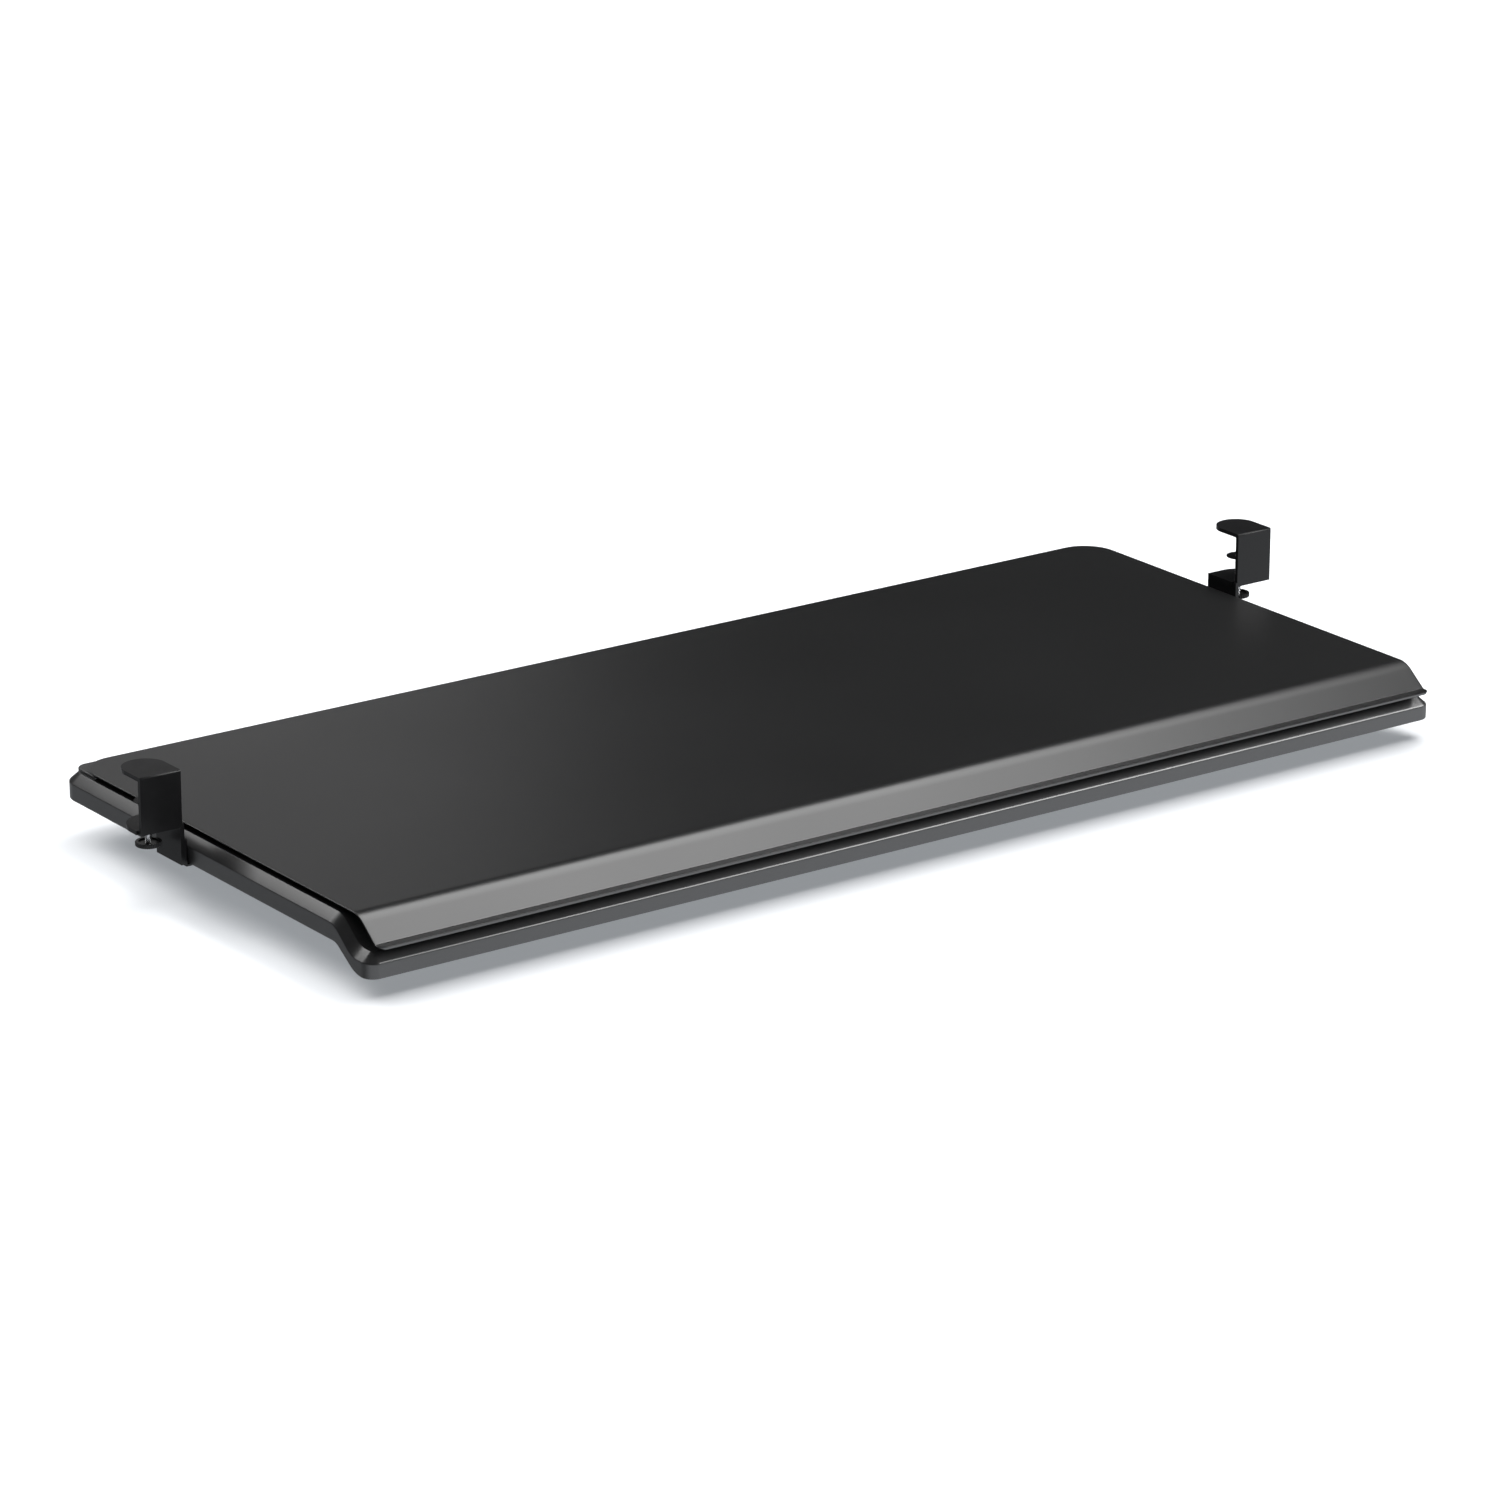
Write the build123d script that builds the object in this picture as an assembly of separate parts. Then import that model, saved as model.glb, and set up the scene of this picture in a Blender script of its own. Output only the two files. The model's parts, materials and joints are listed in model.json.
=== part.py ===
from build123d import *
import math
import os

# Clamp-on pull-out keyboard drawer. Millimetres.
# Frame: X to the user's right, Y back under the desk, Z up. The origin is midway between the
# clamps, on the back face of the clamp plates (the desk's front edge) and on the underside of
# the top jaws (the desk's top surface). The drawer is drawn pulled out to its typing position.

# ---- driving dimensions: drawer ----
TRAY_HALF_WIDTH = 390.0
TRAY_FRONT_Y = -194.8
TRAY_BACK_Y = 146.6
WALL_BOTTOM_Z = -55.3
DECK_TOP_Z = -39.6
SHELL_WALL = 2.5
CHAMFER_RUN = 6.0
CHAMFER_DROP = 5.3
REAR_CORNER_R = 17.0
FRONT_CORNER_R = 8.0
NOSE_DROP = 14.0
NOSE_START_Y = -153.7
NOSE_CONVEX_R = 15.5
NOSE_CONCAVE_R = 17.0
NOSE_SLOPE = 38.0
SKIRT_DROP = 12.9
SKIRT_START_Y = -157.1
SKIRT_CONVEX_R = 12.0
SKIRT_CONCAVE_R = 20.0
SKIRT_SLOPE = 33.0

LEDGE_HALF_WIDTH = 382.2
LEDGE_FRONT_Y = 116.0
LEDGE_BACK_Y = 142.4
LEDGE_TOP_Z = -38.0
LEDGE_CORNER_R = 8.0
LEDGE_FRONT_R = 1.0

RIB_THICKNESS = 2.0
RIB_BOTTOM_Z = -48.5
RIB_HALF_WIDTH = 362.0
RIB_X = [-RIB_HALF_WIDTH, -255.0, -85.0, 85.0, 255.0, RIB_HALF_WIDTH]
CROSS_RIB_Y = [-95.0, -35.0, 25.0, 75.0]
NOSE_RIB_X = RIB_X + [-170.0, 0.0, 170.0]
NOSE_RIB_LIFT = 2.0

# The cutting wedges of the tray's side chamfer and the panel's undercut run past by this factor.
WEDGE_REACH = 1.5

# ---- driving dimensions: top panel ----
PANEL_HALF_WIDTH = 384.5
PANEL_BACK_Y = 136.4
PANEL_TOP_Z = -35.0
PANEL_THICKNESS = 1.8
PANEL_BEND_Y = -170.2
PANEL_CONVEX_R = 17.4
PANEL_CONCAVE_R = 1.2
PANEL_SLOPE = 38.0
PANEL_DROP = 13.1
PANEL_TIP_Y = -199.4
PANEL_REAR_R = 22.0
PANEL_FRONT_R = 5.0
PANEL_UNDERCUT = 1.3

BOSS_R = 4.0
BOSS_X = [-340.0, -170.0, 0.0, 170.0, 340.0]
BOSS_Y = [-120.0, 100.0]
PANEL_SCREW_R = 1.25
PANEL_SCREW_TIP_Z = -36.4
PANEL_HOLE_END_Z = -36.1
PILOT_GAP = 0.05
DECK_HOLE_R = 1.7
PAN_HEAD_R = 2.8
PAN_HEAD_HEIGHT = 1.9
SCREW_HEAD_ROUND = 0.8
SLOT_WIDTH = 0.7
SLOT_LENGTH = 3.0
PAN_SLOT_DEPTH = 1.2

# ---- driving dimensions: slide tracks, one under each side of the deck ----
TRACK_WEB_X = 368.0
TRACK_EDGE_X = 380.0
TRACK_SHEET = 1.2
TRACK_BEND_R = 1.1
TRACK_TOP_Z = DECK_TOP_Z - SHELL_WALL
TRACK_BOTTOM_Z = -54.5
TRACK_FRONT_Y = -153.0
TRACK_BACK_Y = 127.0
TRACK_SCREW_X = 374.5
TRACK_SCREW_Y = [-140.0, -50.0, 40.0, 112.0]
TRACK_SCREW_R = 1.35
TRACK_HEAD_R = 3.0
TRACK_SLOT_DEPTH = 0.8
TRACK_SCREW_TIP_Z = -38.2
TRACK_PILOT_END_Z = -37.9
TRACK_PAD_R = 4.5
TRACK_PAD_TOP_Z = -37.1
ACCESS_HOLE_R = 3.6
BUMPER_LENGTH = 4.0
BUMPER_CORNER_R = 1.0
BUMPER_STEM_R = 1.5
BUMPER_BARB_R = 2.1
BUMPER_BARB_LENGTH = 2.0

# ---- driving dimensions: clamp brackets ----
STEEL = 2.5
PLATE_INNER_X = 393.4
PLATE_OUTER_X = 420.4
JAW_CENTRE_X = 406.95
JAW_R = 13.45
JAW_BACK_Y = 28.6
PLATE_BOTTOM_Z = -32.5
TONGUE_OUTER_X = 421.75
TONGUE_BACK_Y = 25.4
TONGUE_CORNER_R = 17.5
FLANGE_INNER_X = 392.2
FLANGE_BOTTOM_Z = -55.5
BEND_R = 1.1
RELIEF_WIDTH = 1.2

# ---- driving dimensions: clamp screws ----
SCREW_X = 407.0
SCREW_Y = 13.2
SCREW_R = 2.0
SCREW_RUN_GAP = 0.05
TONGUE_HOLE_R = 2.3
NUT_FLATS = 7.0
NUT_HEIGHT = 3.2
KNOB_R = 7.8
KNOB_BOTTOM_Z = -44.9
KNOB_HEIGHT = 2.6
KNOB_RECESS_R = 5.8
KNOB_RECESS_DEPTH = 0.8
KNOB_FLUTES = 36
KNOB_FLUTE_R = 0.45
RIM_CHAMFER = 0.3
PAD_R = 7.7
PAD_BOTTOM_Z = -18.3
PAD_TOP_Z = -17.4
PAD_RECESS_R = 2.7
PAD_RECESS_DEPTH = 0.35
SWIVEL_NECK_R = 1.25
SWIVEL_HEAD_R = 2.1
SWIVEL_GAP = 0.1
SWIVEL_SINK = 0.05

# ---- driving dimensions: slide arms and runners, fixed to the clamps ----
ARM_SHEET = 1.5
ARM_INNER_X = 381.0
ARM_BOTTOM_Z = -57.0
ARM_TOP_INNER_Z = -44.0
ARM_TOP_OUTER_Z = -40.0
ARM_BEND_R = 1.3
ARM_FLOOR_SHEET = 1.4
RIVET_R = 2.0
RIVET_Y = [4.0, 19.0]
RIVET_Z = -48.5
FIT_GAP = 0.02
RUNNER_FRONT_Y = -9.0
RUNNER_BACK_Y = 51.0
RUNNER_SCREW_Y = [9.0, 20.0]
RUNNER_SCREW_R = 1.9
RUNNER_SCREW_LENGTH = 8.0
RUNNER_HOLE_LENGTH = 8.5
ARM_HOLE_R = 2.1
RUNNER_HEAD_R = 3.4
RUNNER_HEAD_HEIGHT = 2.0
RUNNER_SLOT_WIDTH = 0.8
RUNNER_SLOT_LENGTH = 3.4
RUNNER_SLOT_DEPTH = 1.2
GLIDE_WALL = 1.0
GLIDE_LENGTH = 14.0
GLIDE_END = 2.0
SLIDE_GAP = 0.3

FAR_DOWN_Z = -120.0
FAR_UP_Z = 20.0
# Cutting shapes and joined shapes run past each other by this much.
OVERCUT = 1.0

os.makedirs("parts", exist_ok=True)


# ---- helpers ----
def box(x0, x1, y0, y1, z0, z1):
    """An upright box between two corners."""
    size = Box(abs(x1 - x0), abs(y1 - y0), abs(z1 - z0))
    return Pos((x0 + x1) / 2, (y0 + y1) / 2, (z0 + z1) / 2) * size


def post(x, y, z0, z1, radius):
    """An upright cylinder."""
    return Pos(x, y, (z0 + z1) / 2) * Cylinder(radius, z1 - z0)


def pin_x(x0, x1, y, z, radius):
    """A cylinder lying along X."""
    return Pos((x0 + x1) / 2, y, z) * Rot(0, 90, 0) * Cylinder(radius, abs(x1 - x0))


def side_point(y, z, x=0.0):
    return Vector(x, y, z)


def drop_curve(y, z, drop, convex_r, concave_r, slope, x=0.0):
    """Edges of an S that runs forward and down, and the point where it ends.

    A convex arc leaves the level line, a straight slope follows, and a concave arc ends level.
    """
    angle = math.radians(slope)
    lost = 1 - math.cos(angle)
    straight = drop - (convex_r + concave_r) * lost

    def convex(a):
        return side_point(y - convex_r * math.sin(a), z - convex_r * (1 - math.cos(a)), x)

    top_end = convex(angle)
    low_start = side_point(top_end.Y - straight / math.tan(angle), top_end.Z - straight, x)
    end_y = low_start.Y - concave_r * math.sin(angle)

    def concave(a):
        height = z - drop + concave_r * (1 - math.cos(a))
        return side_point(end_y + concave_r * math.sin(a), height, x)

    end = concave(0)
    edges = [
        ThreePointArc(side_point(y, z, x), convex(angle / 2), top_end),
        Line(top_end, low_start),
        ThreePointArc(low_start, concave(angle / 2), end),
    ]
    return edges, end


def closed_face(start_edges, points):
    """A face whose outline is a run of edges followed by straight lines through the points."""
    edges = list(start_edges)
    here = start_edges[-1] @ 1
    for point in points:
        edges.append(Line(here, point))
        here = point
    edges.append(Line(here, start_edges[0] @ 0))
    return Face(Wire(edges))


def rounded_plan(half_width, front_y, back_y, front_r, rear_r, z0, z1):
    """An upright block with its four upright edges rounded."""
    block = box(-half_width, half_width, front_y, back_y, z0, z1)
    uprights = block.edges().filter_by(Axis.Z).sort_by(Axis.Y)
    block = fillet(uprights[2:], rear_r)
    fronts = block.edges().filter_by(Axis.Z).group_by(Axis.Y)[0]
    return fillet(fronts, front_r)


def mirrored(shape):
    return mirror(shape, Plane.YZ)


def save(name, *solids):
    """Write one node: a single solid, or a group of separate solids."""
    shape = solids[0] if len(solids) == 1 else Compound(children=list(solids))
    shape.label = name
    export_step(shape, f"parts/{name}.step")


def save_pair(name, *solids):
    save("right_" + name, *solids)
    save("left_" + name, *[mirrored(s) for s in solids])


def cross_recess(x, y, z, depth):
    """A cross slot opening downwards at height z."""
    length = SLOT_LENGTH / 2
    width = SLOT_WIDTH / 2
    first = box(x - length, x + length, y - width, y + width, z, z + depth)
    second = box(x - width, x + width, y - length, y + length, z, z + depth)
    return first + second


# ---- drawer shell ----
def tray_form(inset):
    """The drawer's outer form, or the same form moved inwards by a wall thickness."""
    half = TRAY_HALF_WIDTH - inset
    front = TRAY_FRONT_Y + inset
    back = TRAY_BACK_Y - inset
    deck = DECK_TOP_Z - inset
    pitch = math.atan2(CHAMFER_DROP, CHAMFER_RUN)
    run = CHAMFER_RUN - inset * (1 - math.tan(pitch / 2))
    fall = run * CHAMFER_DROP / CHAMFER_RUN

    rear = box(-half, half, NOSE_START_Y, back, FAR_DOWN_Z, deck)
    rear_uprights = rear.edges().filter_by(Axis.Z).group_by(Axis.Y)[-1]
    rear = fillet(rear_uprights, REAR_CORNER_R - inset)
    deck_face = rear.faces().sort_by(Axis.Z)[-1]
    rim = []
    for edge in deck_face.edges():
        if edge.center().Y > NOSE_START_Y + OVERCUT:
            rim.append(edge)
    rear = chamfer(rim, run, fall, reference=deck_face)

    edges, end = drop_curve(NOSE_START_Y, deck, NOSE_DROP, NOSE_CONVEX_R - inset,
                            NOSE_CONCAVE_R + inset, NOSE_SLOPE)
    nose_face = closed_face(edges, [
        side_point(front + run, end.Z),
        side_point(front, end.Z - fall),
        side_point(front, FAR_DOWN_Z),
        side_point(NOSE_START_Y, FAR_DOWN_Z),
    ])
    nose = Solid.extrude(nose_face.moved(Location((-half, 0, 0))), Vector(2 * half, 0, 0))
    for side in (-1, 1):
        crease_x = side * (half - run)
        edges, end = drop_curve(NOSE_START_Y, deck, NOSE_DROP, NOSE_CONVEX_R - inset,
                                NOSE_CONCAVE_R + inset, NOSE_SLOPE, crease_x)
        above = closed_face(edges, [
            side_point(front - OVERCUT, end.Z, crease_x),
            side_point(front - OVERCUT, FAR_UP_Z, crease_x),
            side_point(NOSE_START_Y, FAR_UP_Z, crease_x),
        ])
        slant = Vector(side * run * WEDGE_REACH, 0, -fall * WEDGE_REACH)
        nose = nose - Solid.extrude(above, slant)
    corners = nose.edges().filter_by(Axis.Z).group_by(Axis.Y)[0]
    nose = fillet(corners, FRONT_CORNER_R - inset)
    return rear + nose


def below_skirt():
    """Everything under the drawer's lower edge, which steps down at the nose."""
    edges, end = drop_curve(SKIRT_START_Y, WALL_BOTTOM_Z, SKIRT_DROP, SKIRT_CONVEX_R,
                            SKIRT_CONCAVE_R, SKIRT_SLOPE)
    floor_z = FAR_DOWN_Z - NOSE_RIB_LIFT - OVERCUT
    face = closed_face(edges, [
        side_point(TRAY_FRONT_Y - OVERCUT, end.Z),
        side_point(TRAY_FRONT_Y - OVERCUT, floor_z),
        side_point(TRAY_BACK_Y + OVERCUT, floor_z),
        side_point(TRAY_BACK_Y + OVERCUT, WALL_BOTTOM_Z),
    ])
    width = 2 * TRAY_HALF_WIDTH + 2
    return Solid.extrude(face.moved(Location((-width / 2, 0, 0))), Vector(width, 0, 0))


def make_base_tray():
    outer = tray_form(0)
    inner = tray_form(SHELL_WALL)
    under = below_skirt()
    shell = outer - inner - under

    ribs = []
    for x in RIB_X:
        ribs.append(box(x - RIB_THICKNESS / 2, x + RIB_THICKNESS / 2,
                        NOSE_START_Y, TRAY_BACK_Y - OVERCUT, RIB_BOTTOM_Z, DECK_TOP_Z - OVERCUT))
    for y in CROSS_RIB_Y:
        ribs.append(box(-RIB_HALF_WIDTH, RIB_HALF_WIDTH, y - RIB_THICKNESS / 2,
                        y + RIB_THICKNESS / 2, RIB_BOTTOM_Z, DECK_TOP_Z - OVERCUT))
    nose_space = inner - under.moved(Location((0, 0, NOSE_RIB_LIFT)))
    nose_ribs = []
    for x in NOSE_RIB_X:
        strip = box(x - RIB_THICKNESS / 2, x + RIB_THICKNESS / 2, TRAY_FRONT_Y, NOSE_START_Y,
                    FAR_DOWN_Z, DECK_TOP_Z)
        nose_ribs.append(nose_space & strip)
    tray = shell
    for rib in ribs + nose_ribs:
        tray = tray + rib

    ledge = rounded_plan(LEDGE_HALF_WIDTH, LEDGE_FRONT_Y, LEDGE_BACK_Y, LEDGE_FRONT_R,
                         LEDGE_CORNER_R, DECK_TOP_Z - SHELL_WALL / 2, LEDGE_TOP_Z)
    tray = tray + ledge

    for side in (-1, 1):
        for y in TRACK_SCREW_Y:
            x = side * TRACK_SCREW_X
            tray = tray + post(x, y, DECK_TOP_Z - OVERCUT, TRACK_PAD_TOP_Z, TRACK_PAD_R)
            tray = tray - post(x, y, TRACK_TOP_Z - OVERCUT, TRACK_PILOT_END_Z,
                               TRACK_SCREW_R + PILOT_GAP)
    for x in BOSS_X:
        for y in BOSS_Y:
            tray = tray - post(x, y, TRACK_TOP_Z - OVERCUT, DECK_TOP_Z + OVERCUT, DECK_HOLE_R)
    return tray


# ---- top panel ----
def panel_underside(x=0.0):
    """The S of the panel's lower face, parallel to its upper face."""
    return drop_curve(PANEL_BEND_Y, PANEL_TOP_Z - PANEL_THICKNESS, PANEL_DROP,
                      PANEL_CONVEX_R - PANEL_THICKNESS, PANEL_CONCAVE_R + PANEL_THICKNESS,
                      PANEL_SLOPE, x)


def panel_side_undercut(side):
    """The wedge taken off under one side edge, so that the edge looks thin from above."""
    start_x = side * (PANEL_HALF_WIDTH - PANEL_UNDERCUT)
    reach = WEDGE_REACH * PANEL_UNDERCUT
    low, low_end = panel_underside(start_x)
    below = closed_face(low, [
        side_point(PANEL_TIP_Y - OVERCUT, low_end.Z, start_x),
        side_point(PANEL_TIP_Y - OVERCUT, FAR_DOWN_Z, start_x),
        side_point(PANEL_BACK_Y + OVERCUT, FAR_DOWN_Z, start_x),
        side_point(PANEL_BACK_Y + OVERCUT, PANEL_TOP_Z - PANEL_THICKNESS, start_x),
    ])
    return Solid.extrude(below, Vector(side * reach, 0, reach))


def make_top_panel():
    top, top_end = drop_curve(PANEL_BEND_Y, PANEL_TOP_Z, PANEL_DROP, PANEL_CONVEX_R,
                              PANEL_CONCAVE_R, PANEL_SLOPE)
    low, low_end = panel_underside()
    tip_r = PANEL_THICKNESS / 2
    tip_top = side_point(PANEL_TIP_Y + tip_r, top_end.Z)
    tip_low = side_point(PANEL_TIP_Y + tip_r, low_end.Z)
    back_top = side_point(PANEL_BACK_Y, PANEL_TOP_Z)
    back_low = side_point(PANEL_BACK_Y, PANEL_TOP_Z - PANEL_THICKNESS)
    outline = [Line(back_top, top[0] @ 0)] + top
    outline.append(Line(top_end, tip_top))
    outline.append(ThreePointArc(tip_top, side_point(PANEL_TIP_Y, top_end.Z - tip_r), tip_low))
    outline.append(Line(tip_low, low_end))
    outline.extend(reversed(low))
    outline.append(Line(low[0] @ 0, back_low))
    outline.append(Line(back_low, back_top))
    face = Face(Wire(outline))
    sheet = Solid.extrude(face.moved(Location((-PANEL_HALF_WIDTH, 0, 0))),
                          Vector(2 * PANEL_HALF_WIDTH, 0, 0))
    for side in (-1, 1):
        sheet = sheet - panel_side_undercut(side)
    plan_low = PANEL_TOP_Z - PANEL_DROP - PANEL_THICKNESS - OVERCUT
    plan = rounded_plan(PANEL_HALF_WIDTH, PANEL_TIP_Y, PANEL_BACK_Y, PANEL_FRONT_R, PANEL_REAR_R,
                        plan_low, PANEL_TOP_Z + OVERCUT)
    sheet = sheet & plan
    for x in BOSS_X:
        for y in BOSS_Y:
            sheet = sheet + post(x, y, DECK_TOP_Z, PANEL_TOP_Z - PANEL_THICKNESS / 2, BOSS_R)
            sheet = sheet - post(x, y, DECK_TOP_Z - OVERCUT, PANEL_HOLE_END_Z,
                                 PANEL_SCREW_R + PILOT_GAP)
    return sheet


def make_panel_screws():
    screws = []
    for x in BOSS_X:
        for y in BOSS_Y:
            shank = post(x, y, TRACK_TOP_Z - OVERCUT, PANEL_SCREW_TIP_Z, PANEL_SCREW_R)
            head = post(x, y, TRACK_TOP_Z - PAN_HEAD_HEIGHT, TRACK_TOP_Z, PAN_HEAD_R)
            head = fillet(head.edges().sort_by(Axis.Z)[0], SCREW_HEAD_ROUND)
            slot = cross_recess(x, y, TRACK_TOP_Z - PAN_HEAD_HEIGHT, PAN_SLOT_DEPTH)
            screws.append(shank + head - slot)
    return screws


# ---- slide track (right side) ----
def make_track():
    web = box(TRACK_WEB_X, TRACK_WEB_X + TRACK_SHEET, TRACK_FRONT_Y, TRACK_BACK_Y,
              TRACK_BOTTOM_Z, TRACK_TOP_Z)
    top = box(TRACK_WEB_X, TRACK_EDGE_X, TRACK_FRONT_Y, TRACK_BACK_Y,
              TRACK_TOP_Z - TRACK_SHEET, TRACK_TOP_Z)
    low = box(TRACK_WEB_X, TRACK_EDGE_X, TRACK_FRONT_Y, TRACK_BACK_Y,
              TRACK_BOTTOM_Z, TRACK_BOTTOM_Z + TRACK_SHEET)
    track = web + top + low
    bends = []
    for edge in track.edges().filter_by(Axis.Y):
        middle = edge.center()
        if abs(middle.X - TRACK_WEB_X) < 0.01:
            bends.append(edge)
    track = fillet(bends, TRACK_BEND_R)
    for y in TRACK_SCREW_Y:
        track = track - post(TRACK_SCREW_X, y, TRACK_BOTTOM_Z - OVERCUT,
                             TRACK_BOTTOM_Z + TRACK_SHEET + OVERCUT, ACCESS_HOLE_R)
        track = track - track_screw_solid(TRACK_SCREW_X, y, PILOT_GAP)
    for y in bumper_centres():
        track = track - pin_x(TRACK_WEB_X - OVERCUT, TRACK_WEB_X + TRACK_SHEET + OVERCUT, y,
                              track_middle_z(), BUMPER_STEM_R + FIT_GAP)
    return track


def track_screw_solid(x, y, grow):
    """A countersunk screw flush with the underside of the track's upper flange."""
    head_z = TRACK_TOP_Z - TRACK_SHEET
    head = Pos(x, y, (head_z + TRACK_TOP_Z) / 2) * Cone(
        TRACK_HEAD_R + grow, TRACK_SCREW_R + grow, TRACK_SHEET)
    return head + post(x, y, TRACK_TOP_Z - 0.01, TRACK_SCREW_TIP_Z, TRACK_SCREW_R + grow)


def make_track_screws():
    screws = []
    for side in (-1, 1):
        for y in TRACK_SCREW_Y:
            x = side * TRACK_SCREW_X
            slot = cross_recess(x, y, TRACK_TOP_Z - TRACK_SHEET, TRACK_SLOT_DEPTH)
            screws.append(track_screw_solid(x, y, 0) - slot)
    return screws


def track_middle_z():
    return (TRACK_TOP_Z + TRACK_BOTTOM_Z) / 2


def bumper_centres():
    half = BUMPER_LENGTH / 2
    return [TRACK_FRONT_Y + half, TRACK_BACK_Y - half]


def make_bumpers():
    """Rubber end stops, each held by a barbed stem through the track's web."""
    bumpers = []
    face_x = TRACK_WEB_X + TRACK_SHEET
    for y in bumper_centres():
        half = BUMPER_LENGTH / 2
        body = box(face_x, TRACK_EDGE_X, y - half, y + half,
                   TRACK_BOTTOM_Z + TRACK_SHEET, TRACK_TOP_Z - TRACK_SHEET)
        body = fillet(body.edges().filter_by(Axis.Z).sort_by(Axis.X)[2:], BUMPER_CORNER_R)
        tip_x = TRACK_WEB_X - BUMPER_BARB_LENGTH
        stem = pin_x(tip_x, face_x + OVERCUT, y, track_middle_z(), BUMPER_STEM_R)
        barb = pin_x(tip_x, TRACK_WEB_X, y, track_middle_z(), BUMPER_BARB_R)
        bumpers.append(body + stem + barb)
    return bumpers


# ---- clamp bracket (right side): sheet steel with three bends ----
def make_bracket():
    plate = box(PLATE_INNER_X, PLATE_OUTER_X, -STEEL, 0, PLATE_BOTTOM_Z, STEEL)
    jaw_round_y = JAW_BACK_Y - JAW_R
    jaw = box(JAW_CENTRE_X - JAW_R, PLATE_OUTER_X, -STEEL / 2, jaw_round_y, 0, STEEL)
    jaw = jaw + post(JAW_CENTRE_X, jaw_round_y, 0, STEEL, JAW_R)

    tongue_top = PLATE_BOTTOM_Z + STEEL
    tongue = box(FLANGE_INNER_X, TONGUE_OUTER_X, -STEEL, TONGUE_BACK_Y, PLATE_BOTTOM_Z, tongue_top)
    corner = tongue.edges().filter_by(Axis.Z).group_by(Axis.Y)[-1].sort_by(Axis.X)[-1]
    tongue = fillet(corner, TONGUE_CORNER_R)
    flange = box(FLANGE_INNER_X, FLANGE_INNER_X + STEEL, -STEEL, TONGUE_BACK_Y,
                 FLANGE_BOTTOM_Z, tongue_top)
    bracket = plate + jaw + tongue + flange

    relief = box(FLANGE_INNER_X - OVERCUT, PLATE_INNER_X + STEEL, 0, RELIEF_WIDTH,
                 PLATE_BOTTOM_Z - OVERCUT, tongue_top + OVERCUT)
    outer_relief = box(PLATE_OUTER_X, TONGUE_OUTER_X + OVERCUT, -STEEL - OVERCUT, RELIEF_WIDTH,
                       PLATE_BOTTOM_Z - OVERCUT, tongue_top + OVERCUT)
    bracket = bracket - relief - outer_relief
    bends = []
    for edge in bracket.edges():
        middle = edge.center()
        along_x = edge.length > JAW_R and abs(middle.Y + STEEL) < 0.01
        if along_x and abs(middle.Z - STEEL) < 0.01:
            bends.append(edge)
    bracket = fillet(bends, BEND_R)
    bracket = bracket - post(SCREW_X, SCREW_Y, PLATE_BOTTOM_Z - OVERCUT, tongue_top + OVERCUT,
                             TONGUE_HOLE_R)
    for y in RIVET_Y:
        bracket = bracket - pin_x(FLANGE_INNER_X - OVERCUT, FLANGE_INNER_X + STEEL + OVERCUT, y,
                                  RIVET_Z, RIVET_R)
    return bracket


def make_clamp_nut():
    top = PLATE_BOTTOM_Z
    outline = RegularPolygon(NUT_FLATS / 2, 6, major_radius=False)
    nut = Pos(SCREW_X, SCREW_Y, top - NUT_HEIGHT) * extrude(outline, NUT_HEIGHT)
    return nut - post(SCREW_X, SCREW_Y, top - NUT_HEIGHT - OVERCUT, top + OVERCUT,
                      SCREW_R + SCREW_RUN_GAP)


def make_clamp_screw():
    """The thread, and the necked end that is peened over inside the pad."""
    shoulder_z = PAD_BOTTOM_Z - SWIVEL_GAP
    floor_z = PAD_TOP_Z - PAD_RECESS_DEPTH
    body = post(SCREW_X, SCREW_Y, KNOB_BOTTOM_Z, shoulder_z, SCREW_R)
    neck = post(SCREW_X, SCREW_Y, shoulder_z - OVERCUT, floor_z + SWIVEL_GAP, SWIVEL_NECK_R)
    head = post(SCREW_X, SCREW_Y, floor_z + SWIVEL_GAP, PAD_TOP_Z - SWIVEL_SINK, SWIVEL_HEAD_R)
    return body + neck + head


def make_knob():
    top = KNOB_BOTTOM_Z + KNOB_HEIGHT
    knob = post(SCREW_X, SCREW_Y, KNOB_BOTTOM_Z, top, KNOB_R)
    knob = chamfer(knob.edges().filter_by(GeomType.CIRCLE), RIM_CHAMFER)
    knob = knob - post(SCREW_X, SCREW_Y, top - KNOB_RECESS_DEPTH, top + OVERCUT, KNOB_RECESS_R)
    knob = knob - post(SCREW_X, SCREW_Y, KNOB_BOTTOM_Z - OVERCUT, top + OVERCUT, SCREW_R + FIT_GAP)
    for i in range(KNOB_FLUTES):
        angle = 2 * math.pi * i / KNOB_FLUTES
        x = SCREW_X + KNOB_R * math.cos(angle)
        y = SCREW_Y + KNOB_R * math.sin(angle)
        knob = knob - post(x, y, KNOB_BOTTOM_Z - OVERCUT, top + OVERCUT, KNOB_FLUTE_R)
    return knob


def make_pad():
    pad = post(SCREW_X, SCREW_Y, PAD_BOTTOM_Z, PAD_TOP_Z, PAD_R)
    pad = chamfer(pad.edges().filter_by(GeomType.CIRCLE).sort_by(Axis.Z)[0], RIM_CHAMFER)
    pad = pad - post(SCREW_X, SCREW_Y, PAD_TOP_Z - PAD_RECESS_DEPTH, PAD_TOP_Z + OVERCUT, PAD_RECESS_R)
    return pad - post(SCREW_X, SCREW_Y, PAD_BOTTOM_Z - OVERCUT, PAD_TOP_Z + OVERCUT,
                      SWIVEL_NECK_R + SCREW_RUN_GAP)


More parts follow.
